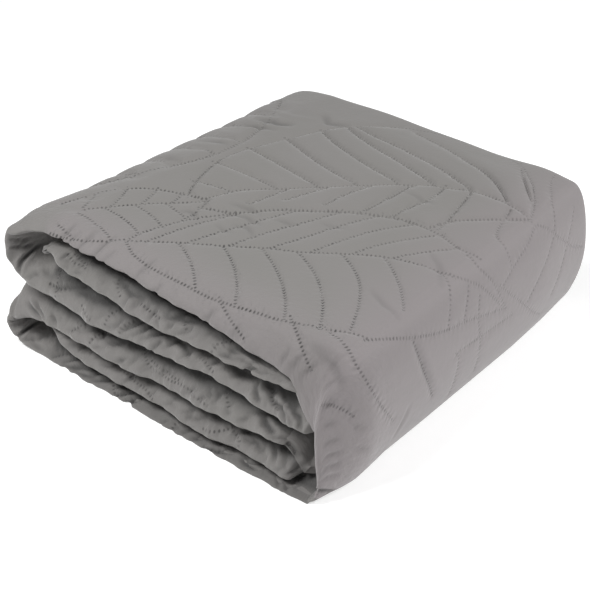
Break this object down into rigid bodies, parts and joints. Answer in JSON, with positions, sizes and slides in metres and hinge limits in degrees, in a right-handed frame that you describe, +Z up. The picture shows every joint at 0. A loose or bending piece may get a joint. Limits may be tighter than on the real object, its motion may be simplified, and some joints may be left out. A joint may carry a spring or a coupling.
{
  "type": "bedspread",
  "caption": "Quilted grey bedspread with a welded leaf pattern, folded into a flat, rectangular parcel with rounded lips along its front and two rolls on its left side.",
  "frame": {"origin": "middle of the parcel's footprint, on the surface that it lies on", "axes": "+Z up; +X along the front, from the two folded rolls to the smooth wrap; +Y from the front with its lips to the back"},
  "size_m": [0.422, 0.4358, 0.1469],
  "materials": {
    "cloth": "fine smooth microfibre, warm grey, faint soft sheen, quilted by lines of small welded points"
  },
  "bodies": {
    "root": {"bedspread": "cloth"}
  },
  "joints": []
}
